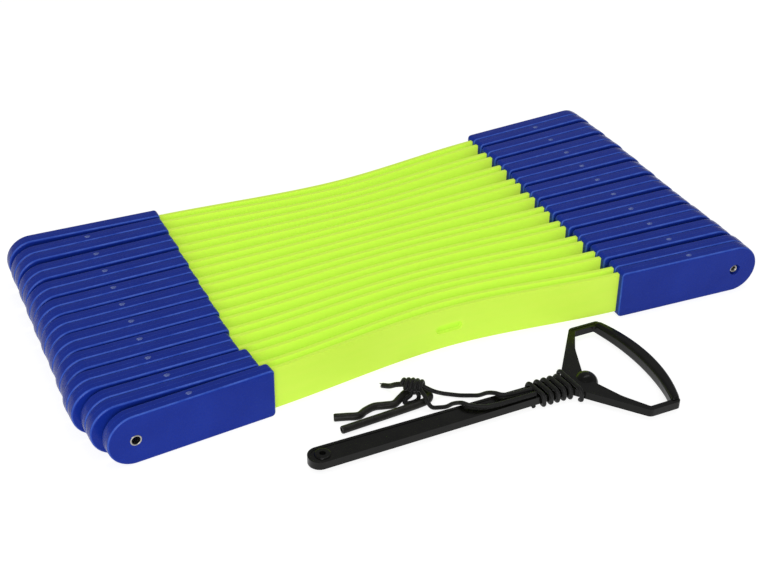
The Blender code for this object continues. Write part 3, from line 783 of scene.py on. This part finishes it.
def cap_place(side, slat):
    """Stands a flat cap on edge at its pivot: the high face looks to the front on odd slats."""
    return (
        Matrix.Translation(pivot(side, slat))
        @ Matrix.Rotation(heading(side, slat), 4, "Z")
        @ Matrix.Rotation(cap_tip(side, slat) * math.pi / 2, 4, "X")
    )


def blade_path(slat):
    """Where a blade's middle runs, as a function of x that gives y and its slope."""
    back = 1 if slat % 2 else -1
    ends = {}
    for side in ("left", "right"):
        angle, centre = heading(side, slat), pivot(side, slat)
        end = centre.xy + Vector((math.cos(angle), math.sin(angle))) * CAP_REACH
        ends[side] = (end + across(side, slat).xy * BLADE_OFFSET * back, math.tan(angle))
    middle_y = (slat - (SLAT_COUNT + 1) / 2) * WAIST_PITCH + back * WAIST_STAGGER
    middle = on_stack(SLOT_AT, middle_y, 0.0)
    level = (ends["right"][0].y - ends["left"][0].y) / (ends["right"][0].x - ends["left"][0].x)

    def path(x):
        end, slope = ends["left" if x < middle.x else "right"]
        run = end.x - middle.x
        t = (x - middle.x) / run
        if t >= 1.0:
            return end.y + slope * (x - end.x), slope
        y = (
            middle.y * (2 * t**3 - 3 * t**2 + 1) + end.y * (3 * t**2 - 2 * t**3)
            + run * (level * (t**3 - 2 * t**2 + t) + slope * (t**3 - t**2))
        )
        steepness = (
            (middle.y - end.y) * 6 * (t**2 - t) / run
            + level * (3 * t**2 - 4 * t + 1) + slope * (3 * t**2 - 2 * t)
        )
        return y, steepness

    return path, ends


def blade_mesh(slat):
    """A blade with its hand slot and rounded edges, cut straight and then bowed on its path."""
    path, ends = blade_path(slat)
    inside = TONGUE * math.cos(pair_lean("left", slat))
    left, right = ends["left"][0].x - inside, ends["right"][0].x + inside
    half, thick = BLADE_HEIGHT / 2, BLADE_THICKNESS / 2
    body = block("blade", (left, -half, -thick), (right, half, thick))
    half_slot, half_long = SLOT_HEIGHT / 2, SLOT_LENGTH / 2
    # Just less than half the slot, so that its two corners at an end don't meet in one point
    corners = [
        (x, y, half_slot * 0.999, 8)
        for x, y in ((-half_long, -half_slot), (half_long, -half_slot),
                     (half_long, half_slot), (-half_long, half_slot))
    ]
    slot = plate("slot", [rounded(corners)], BLADE_THICKNESS * 2)
    slot.location.x = STACK_AT[0] + SLOT_AT
    mesh = baked(edged(combined(body, [slot], "DIFFERENCE"), BLADE_ROUND, 2))
    bm = bmesh.new()
    bm.from_mesh(mesh)
    stations = round((right - left) / BLADE_STEP)
    for n in range(1, stations):
        x = left + (right - left) * n / stations
        everything = bm.verts[:] + bm.edges[:] + bm.faces[:]
        bmesh.ops.bisect_plane(bm, geom=everything, dist=1e-6, plane_co=(x, 0, 0), plane_no=(1, 0, 0))
    for vertex in bm.verts:
        x, up, aside = vertex.co
        y, slope = path(x)
        front = Vector((slope, -1.0)).normalized()
        vertex.co = (x + front.x * aside, y + front.y * aside, CAP_HEIGHT / 2 + up)
    bm.to_mesh(mesh)
    bm.free()
    return mesh


def make_slats(blue, scar, fluorescent):
    """All blades and caps. Only odd slats show a gate scar, on the edge that is up."""
    meshes = {}
    for slat in range(1, SLAT_COUNT + 1):
        body = f"slat_{slat:02d}"
        fused = slat in FUSED_SLATS
        blade = link(f"blade_piece_{slat:02d}", blade_mesh(slat))
        evened(coat(blade, "blade_plastic", fluorescent))
        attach(blade, body)
        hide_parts(body if fused else f"blade_{slat:02d}")
        for side in ("left", "right"):
            kind = (side, is_free(side, slat), cap_tip(side, slat) if slat % 2 else 0)
            if kind not in meshes:
                meshes[kind] = cap_mesh(*kind)
            cap = link(f"{side}_cap_piece_{slat:02d}", meshes[kind].copy())
            cap.matrix_world = cap_place(side, slat)
            evened(coat(cap, "cap_plastic", blue, scar))
            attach(cap, body)
            if not fused:
                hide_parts(f"{side}_cap_{slat:02d}")


# Rivets and eyelets: profiles of (radius, depth from the outer face) turned about the pivot

def holds_rivet(side, slat):
    """Whether this slat carries its pair's rivet: the one nearer the middle of the chain does."""
    root = FUSED_SLATS[0]
    return not is_free(side, slat) and abs(slat - root) < abs(partner(side, slat) - root)


def rivet_profile():
    """A tubular rivet, rolled over in the recess of each cap of its pair."""
    far = 2 * CAP_THICKNESS + PAIR_GAP
    end = [(r, RECESS_DEPTH + s) for r, s in RIVET_PROFILE]
    return end + [(r, far - s) for r, s in end[::-1]]


def eyelet_profile():
    """A tubular eyelet with a rolled rim that stands on each face of the cap."""
    inner, outer = EYELET_BORE / 2, EYELET_RIM / 2
    roll, wall = (outer - inner) / 2, BORE / 2 - RIVET_PLAY
    curl = [
        (inner + roll - roll * math.cos(a), -roll * math.sin(a))
        for a in [math.pi * n / 10 for n in range(11)]
    ]
    front = [(r, s * EYELET_ROLL_HEIGHT) for r, s in curl]
    back = [(r, CAP_THICKNESS - s) for r, s in front[::-1]]
    sunk = 2 * RIVET_PLAY
    return front + [(wall, sunk), (wall, CAP_THICKNESS - sunk)] + back


def make_rivets(steel):
    for slat in range(1, SLAT_COUNT + 1):
        for side in ("left", "right"):
            towards = -1 if side == "right" else 1
            if is_free(side, slat):
                name, profile = f"eyelet_{slat:02d}", eyelet_profile()
            elif holds_rivet(side, slat):
                first, last = sorted((slat, partner(side, slat)))
                name, profile = f"{side}_rivet_{first:02d}_{last:02d}", rivet_profile()
            else:
                continue
            outer_face = -towards * CAP_THICKNESS / 2
            item = turned(name, [(r, outer_face + towards * s) for r, s in profile])
            item.matrix_world = cap_place(side, slat)
            coat(item, None, steel, sharp=40)
            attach(item, f"slat_{slat:02d}")


# Carry handle, in its own frame: the tip at the origin and the grip towards +X

def mirrored(low):
    """The corners of a shape's lower half, and the upper half that mirrors it."""
    return low + [(x, -y, radius, steps) for x, y, radius, steps in reversed(low)]


def bowed(points, bulge):
    """The outline with its middle edge replaced by an arc."""
    half = len(points) // 2
    arc = arc_through(points[half - 1], points[half], bulge)
    return points[:half - 1] + arc + points[half + 1:]


def grip_aside(along):
    """How far the handle's middle lies to the side: not at all on the neck, fully past the arms."""
    return GRIP_ASIDE * min(1.0, max(0.0, (along - NECK_END) / (ARM_FOOT - NECK_END)))


def set_aside(points):
    """The outline moved over with the handle's middle."""
    return [Vector((x, y + grip_aside(x))) for x, y in points]


def handle_outline():
    """The flat of the handle: the bar with its round tip, the two arms and the bowed back."""
    return set_aside(bowed(rounded(mirrored([
        (0.0, -BAR_HALF_TIP, BAR_HALF_TIP * 0.96, 14), (NECK_END, -BAR_HALF_NECK, NECK_FLARE, 10),
        (ARM_FOOT, -GRIP_HALF_WIDTH, ARM_CORNER, 6), (GRIP_BACK, -GRIP_HALF_WIDTH, GRIP_CORNER, 5),
    ])), GRIP_BULGE))


def opening_outline():
    """The hand opening, which narrows between the arms to the hub."""
    return set_aside(bowed(rounded(mirrored([
        (OPENING_FRONT, -OPENING_NOSE, 0.0, 0),
        (OPENING_FRONT + OPENING_CHEEK[0], -OPENING_CHEEK[1], OPENING_CHEEK_ROUND, 8),
        (OPENING_FOOT, -OPENING_HALF_WIDTH, OPENING_CORNER, 4),
        (OPENING_BACK, -OPENING_HALF_WIDTH, OPENING_CORNER, 4),
    ])), OPENING_BULGE))


def hand_bar_outline():
    """The thick round part that the fingers close on, wider than the flat on both sides."""
    half, back, front = HAND_BAR_HALF_LENGTH, GRIP_BACK + HAND_BAR_SWELL, OPENING_BACK - HAND_BAR_SWELL
    outer = arc_through((back, -half), (back, half), GRIP_BULGE)
    inner = arc_through((front, -half), (front, half), OPENING_BULGE)
    return set_aside(outer + inner[::-1])


def round_bar(name, diameter, low, high):
    """A round bar along Z from low to high."""
    return turned(name, [(0.0, low), (diameter / 2, low), (diameter / 2, high), (0.0, high)])


def hub_profile():
    """The hub from below: a flat foot, a straight side and a round dome."""
    foot, radius, low = HUB_FOOT_EDGE, HUB / 2, FLOOR_GAP - HANDLE_Z
    rise = HUB_TOP - HUB_SHOULDER
    dome = [
        (radius * math.cos(a), HUB_SHOULDER + rise * math.sin(a))
        for a in [math.pi / 2 * n / DOME_STEPS for n in range(DOME_STEPS)]
    ]
    return [(0.0, low), (radius - foot, low), (radius, low + foot), *dome, (0.0, HUB_TOP)]


def make_handle(nylon):
    """One moulding: a web with a raised rim round it, a boss at the tip, the hub and the hand bar."""
    outline, opening = handle_outline(), opening_outline()
    web = plate("web", [outline, opening], WEB_THICKNESS)
    edge = plate("rim", [outline, inset(outline, RIM)], BAR_THICKNESS)
    hand_bar = plate("hand_bar", [hand_bar_outline()], HAND_BAR_THICKNESS)
    hub = turned("hub", hub_profile())
    hub.location.x = HUB_AT
    boss = round_bar("boss", TIP_BOSS, -TIP_BOSS_THICKNESS / 2, TIP_BOSS_THICKNESS / 2)
    boss.location.x = TIP_HOLE_AT
    hole = round_bar("hole", TIP_HOLE, -BAR_THICKNESS, BAR_THICKNESS)
    hole.location.x = TIP_HOLE_AT
    edged(boss, TIP_BOSS_EDGE)
    edged(web, FLAT_BEVEL)
    edged(edge, FLAT_BEVEL)
    edged(hand_bar, HAND_BAR_EDGE, 5)
    body = combined(web, [edge, hand_bar, hub, boss], "UNION")
    body = combined(body, [hole], "DIFFERENCE")
    body.name = "handle_moulding"
    body.matrix_world = handle_place()
    evened(coat(body, "handle_plastic", nylon))
    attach(body, "carry_handle")
    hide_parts("carry_handle")


def handle_place():
    x, y = HANDLE_TIP
    return Matrix.Translation(on_stack(x, y, HANDLE_Z)) @ Matrix.Rotation(HANDLE_TURN, 4, "Z")


# Cord and tube

def wrap_half_width(along):
    """How far from the neck's middle the cord runs: round the neck, then out on the arms."""
    taper = (BAR_HALF_TIP - BAR_HALF_NECK) * max(0.0, 1 - along / NECK_END)
    slope = math.atan2(GRIP_HALF_WIDTH - BAR_HALF_NECK, ARM_FOOT - NECK_END)
    radius = NECK_FLARE - CORD_CLEARANCE - CORD / 2
    past = max(0.0, along - NECK_END + NECK_FLARE * math.tan(slope / 2))
    on_arc = min(past, radius * math.sin(slope))
    return (
        BAR_HALF_NECK + taper + NECK_FLARE - math.sqrt(radius**2 - on_arc**2)
        + (past - on_arc) * math.tan(slope)
    )


def round_the_bar(share, half_width):
    """A point of the cord's way round the neck, seen along it, after this share of a turn."""
    wide, high = half_width - WRAP_CORNER, WRAP_HALF_HEIGHT - WRAP_CORNER
    quarter = math.pi * WRAP_CORNER / 2
    left = (share % 1.0) * (4 * wide + 4 * high + 4 * quarter)
    runs = (
        (2 * wide, (wide, high), 90), (2 * high, (-wide, high), 180),
        (2 * wide, (-wide, -high), 270), (2 * high, (wide, -high), 0),
    )
    for run, corner, angle in runs:
        facing = math.radians(angle)
        outwards = Vector((math.cos(facing), math.sin(facing)))
        onwards = Vector((-outwards.y, outwards.x))
        if left <= run:
            return Vector(corner) + outwards * WRAP_CORNER + onwards * left
        left -= run
        if left <= quarter:
            turn = facing + left / WRAP_CORNER
            round_it = Vector((math.cos(turn), math.sin(turn)))
            return Vector(corner) + onwards * run + round_it * WRAP_CORNER
        left -= quarter
    return Vector((wide, high + WRAP_CORNER))


def winding_points():
    """The cord's turns round the neck, wide apart at first and closer towards the hub."""
    points = []
    for n in range(TURNS * TURN_POINTS + 1):
        turn = n / TURN_POINTS
        settled = (FIRST_PITCH - LAST_PITCH) * (1 - math.exp(-turn))
        along = WINDING_START + LAST_PITCH * turn + settled
        aside = round_the_bar(turn + 0.5, wrap_half_width(along))
        points.append(handle_place() @ Vector((along, aside.x + grip_aside(along), aside.y)))
    return points


def smooth_route(points, spacing):
    """Points a spacing apart on a smooth curve through the given ones."""
    spots = [Vector(p) for p in points]
    spots = [2 * spots[0] - spots[1], *spots, 2 * spots[-1] - spots[-2]]
    fine = []
    for a, b, c, d in zip(spots, spots[1:], spots[2:], spots[3:]):
        for n in range(ROUTE_STEPS):
            t = n / ROUTE_STEPS
            fine.append(0.5 * (
                2 * b + (c - a) * t + (2 * a - 5 * b + 4 * c - d) * t**2
                + (3 * b - a - 3 * c + d) * t**3
            ))
    fine.append(spots[-2])
    lengths = np.cumsum([0.0] + [(q - p).length for p, q in zip(fine, fine[1:])])
    count = max(2, round(lengths[-1] / spacing))
    wanted = np.linspace(0.0, lengths[-1], count + 1)
    return [
        Vector([float(np.interp(s, lengths, [p[k] for p in fine])) for k in range(3)]) for s in wanted
    ]


def frames_along(points):
    """Each point with two directions square to the line there, carried along it without twist."""
    aside = Vector((0.0, 0.0, 1.0))
    found = []
    for n, point in enumerate(points):
        along = (points[min(n + 1, len(points) - 1)] - points[max(n - 1, 0)]).normalized()
        aside = aside - along * aside.dot(along)
        if aside.length < 1e-4:
            aside = along.orthogonal()
        aside.normalize()
        found.append((point, aside.copy(), along.cross(aside)))
    return found


def braid_height(along, angle):
    """How high the braid's crossing bundles stand, from 0 to 1."""
    twist = BRAID_BUNDLES * math.pi * along / BRAID_LAY
    one = abs(math.sin(BRAID_BUNDLES / 2 * angle + twist))
    two = abs(math.sin(BRAID_BUNDLES / 2 * angle - twist))
    return max(one, two)


def add_cord(bm, points, diameter):
    """A braided cord along the points, with its length and girth in metres as UV."""
    uv = bm.loops.layers.uv.get("along_and_round") or bm.loops.layers.uv.new("along_and_round")
    rings, along, runs = [], 0.0, []
    for n, (point, one, two) in enumerate(frames_along(points)):
        along += (point - points[n - 1]).length if n else 0.0
        runs.append(along)
        ring = []
        for k in range(CORD_SIDES):
            angle = 2 * math.pi * k / CORD_SIDES
            radius = diameter / 2 * (1 - BRAID_DEPTH + BRAID_DEPTH * braid_height(along, angle))
            ring.append(bm.verts.new(point + (one * math.cos(angle) + two * math.sin(angle)) * radius))
        rings.append(ring)
    girth = math.pi * diameter / CORD_SIDES
    for n, (low, high) in enumerate(zip(rings, rings[1:])):
        for k in range(CORD_SIDES):
            after = (k + 1) % CORD_SIDES
            face = bm.faces.new((low[k], low[after], high[after], high[k]))
            spots = ((runs[n], k), (runs[n], k + 1), (runs[n + 1], k + 1), (runs[n + 1], k))
            for loop, (u, v) in zip(face.loops, spots):
                loop[uv].uv = (u, v * girth)
    bm.faces.new(rings[0][::-1])
    bm.faces.new(rings[-1])


def cord_piece(name, points, polyester):
    item = mesh_of(name, lambda bm: add_cord(bm, points, CORD))
    coat(item, "cord", polyester, sharp=60)
    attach(item, "carry_handle")
    return item


def knot_points():
    """The knot's turns: they wind round both strands towards the tail."""
    turn = Matrix.Translation(Vector(KNOT_AT)) @ Matrix.Rotation(KNOT_TURN, 4, "Z")
    half, wide, high = (size - CORD / 2 for size in KNOT_SIZE)
    steps = round(KNOT_TURNS * KNOT_TURN_STEPS)
    coils = []
    for n in range(steps + 1):
        angle = KNOT_FROM + 2 * math.pi * KNOT_TURNS * n / steps
        swell = 1 - KNOT_BARREL * (2 * n / steps - 1) ** 2
        coils.append(turn @ Vector((
            half * (1 - 2 * n / steps), wide * swell * math.cos(angle), high * swell * math.sin(angle),
        )))
    return [Vector(UPPER_STRAND[0])] + coils + [Vector(TAIL[0])]


def add_frayed_end(bm, tip, onwards):
    """Loose filament bundles that fan out of the cord's cut end."""
    aside = onwards.orthogonal().normalized()
    other = onwards.cross(aside)
    for n in range(FRAY_COUNT):
        angle = FRAY_TURN * n
        outwards = aside * math.cos(angle) + other * math.sin(angle)
        out = math.sqrt((n + 0.5) / FRAY_COUNT) * CORD * TAIL_SWELL * FRAY_REACH
        root = tip + outwards * out
        spread = onwards + outwards * (FRAY_SPREAD * out / CORD)
        length = FRAY_LENGTH * (0.7 + 0.3 * math.cos(5.0 * n))
        middle = root + spread * length / 2
        place = Matrix.Translation(middle) @ spread.to_track_quat("Z", "Y").to_matrix().to_4x4()
        bmesh.ops.create_cone(bm, cap_ends=True, segments=6, radius1=FRAY_ROOT, radius2=FRAY_TIP,
                              depth=length, matrix=place)


def knot_mesh(bm):
    """The knot's turns round their core, the loop that binds the tube's bend, and the thick tail."""
    stretches = (
        (knot_points(), CORD), ((UPPER_STRAND[0], KNOT_AT, TAIL[0]), CORD * KNOT_CORE),
        (BINDING, CORD), ((KNOT_AT, *TAIL), CORD * TAIL_SWELL),
    )
    for route, diameter in stretches:
        points = smooth_route([on_stack(*p) for p in route], CORD_STEP)
        add_cord(bm, points, diameter)
    add_frayed_end(bm, points[-1], (points[-1] - points[-3]).normalized())


def make_cords(polyester):
    """The winding, the two strands, and the knot with its tail, which goes with the upper strand."""
    turns = smooth_route(winding_points(), CORD_STEP)
    winding = cord_piece("neck_winding", turns, polyester)
    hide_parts("cord_winding")
    knot = mesh_of("cord_knot_and_tail", knot_mesh)
    coat(knot, "cord", polyester, sharp=60)
    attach(knot, "carry_handle")
    for name, route, more in (("upper", UPPER_STRAND, [knot]), ("lower", LOWER_STRAND, [])):
        points = smooth_route([on_stack(*p) for p in route[::-1]], CORD_STEP)
        strand = cord_piece(f"{name}_strand", points, polyester)
        if more:
            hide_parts("cord_and_knot")


def hollow_tube(bm, points):
    """A tube along the points with an open bore at both ends, cut square."""
    frames, wall, bore = frames_along(points), TUBE / 2, TUBE_BORE / 2

    def ring(frame, radius):
        point, one, two = frame
        angles = [2 * math.pi * k / TUBE_SIDES for k in range(TUBE_SIDES)]
        return [
            bm.verts.new(point + (one * math.cos(a) + two * math.sin(a)) * radius) for a in angles
        ]

    lip, deep = wall - TUBE_LIP, round(TUBE_BORE_DEPTH / TUBE_STEP)
    first = [ring(frames[deep], bore), ring(frames[0], bore), ring(frames[0], lip)]
    outer = [ring(frame, wall) for frame in frames[1:-1]]
    last = [ring(frames[-1], lip), ring(frames[-1], bore), ring(frames[-1 - deep], bore)]
    rings = first + outer + last
    for low, high in zip(rings, rings[1:]):
        for k in range(TUBE_SIDES):
            after = (k + 1) % TUBE_SIDES
            bm.faces.new((low[k], low[after], high[after], high[k]))
    bm.faces.new(rings[0][::-1])
    bm.faces.new(rings[-1])
    bmesh.ops.recalc_face_normals(bm, faces=bm.faces)


def make_tube(rubber):
    points = smooth_route([on_stack(*p) for p in TUBE_ROUTE], TUBE_STEP)
    tube = mesh_of("latex_tube", lambda bm: hollow_tube(bm, points))
    coat(tube, "rubber", rubber, sharp=50)
    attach(tube, "carry_handle")
    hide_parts("rubber_tube")


# Stage

def seen_white(tree):
    """1 for the rays from the camera, off a shine or through glass, which see the white ground."""
    path = add(tree, "LightPath")
    first = add(tree, "Math", {0: path.outputs["Is Camera Ray"], 1: path.outputs["Is Glossy Ray"]},
                operation="MAXIMUM")
    both = add(tree, "Math", {0: first.outputs[0], 1: path.outputs["Is Transmission Ray"]},
               operation="MAXIMUM")
    return both.outputs[0]


def make_stage():
    world = bpy.data.worlds.new("studio")
    bpy.context.scene.world = world
    world.use_nodes = True
    tree = world.node_tree
    tree.nodes.clear()
    lit = add(tree, "Background", {"Color": paint("#FFFFFF"), "Strength": WORLD_LIGHT})
    add(tree, "OutputWorld", {"Surface": lit.outputs[0]})
    floor = mesh_of("floor", lambda bm: bmesh.ops.create_grid(
        bm, x_segments=1, y_segments=1, size=GROUND_HALF_WIDTH))
    floor.data.materials.append(white_ground())


def white_ground():
    """A matt white ground that the camera sees as white, with only the object's shadow on it."""
    made = bpy.data.materials.new("matt_white_ground")
    made.use_nodes = True
    tree = made.node_tree
    tree.nodes.clear()
    plain = add(tree, "BsdfDiffuse", {"Color": paint("#E6E6E6")})
    faint = add(tree, "BsdfDiffuse", {"Color": grey(GROUND_GREY)})
    glow = add(tree, "Emission", {"Color": grey(1.0), "Strength": 1.0 - DEEPEST_SHADOW})
    shown = add(tree, "AddShader", {0: faint.outputs[0], 1: glow.outputs[0]})
    mix = add(tree, "MixShader", {0: seen_white(tree), 1: plain.outputs[0], 2: shown.outputs[0]})
    add(tree, "OutputMaterial", {"Surface": mix.outputs[0]})
    return made


def lamp(name, at, size, power, aim):
    """A softbox with an oval front of this width and height, turned to its aim."""
    made = bpy.data.objects.new(name, bpy.data.lights.new(name, "AREA"))
    bpy.context.scene.collection.objects.link(made)
    made.data.shape = "ELLIPSE"
    made.data.size, made.data.size_y = size
    made.data.energy = power
    made.location = at
    made.rotation_euler = (Vector(at) - Vector(aim)).to_track_quat("Z", "Y").to_euler()


def light_stage():
    lamp("front_softbox", FRONT_AT, FRONT_SIZE, FRONT_POWER, FRONT_AIM)
    # Long and narrow over the slats, so that their rounded upper edges catch a fine line of light
    lamp("overhead_strip", STRIP_AT, STRIP_SIZE, STRIP_POWER, STRIP_AIM)


def main():
    """Builds everything."""
    place_camera()
    make_cords(braided_polyester())
    make_tube(latex_rubber())
    make_slats(moulded_polypropylene(), gate_scar(), fluorescent_polypropylene())
    make_rivets(nickel_plated_steel())
    make_handle(glossy_nylon())
    make_stage()
    light_stage()
    bpy.context.scene.view_settings.view_transform = "Standard"


main()
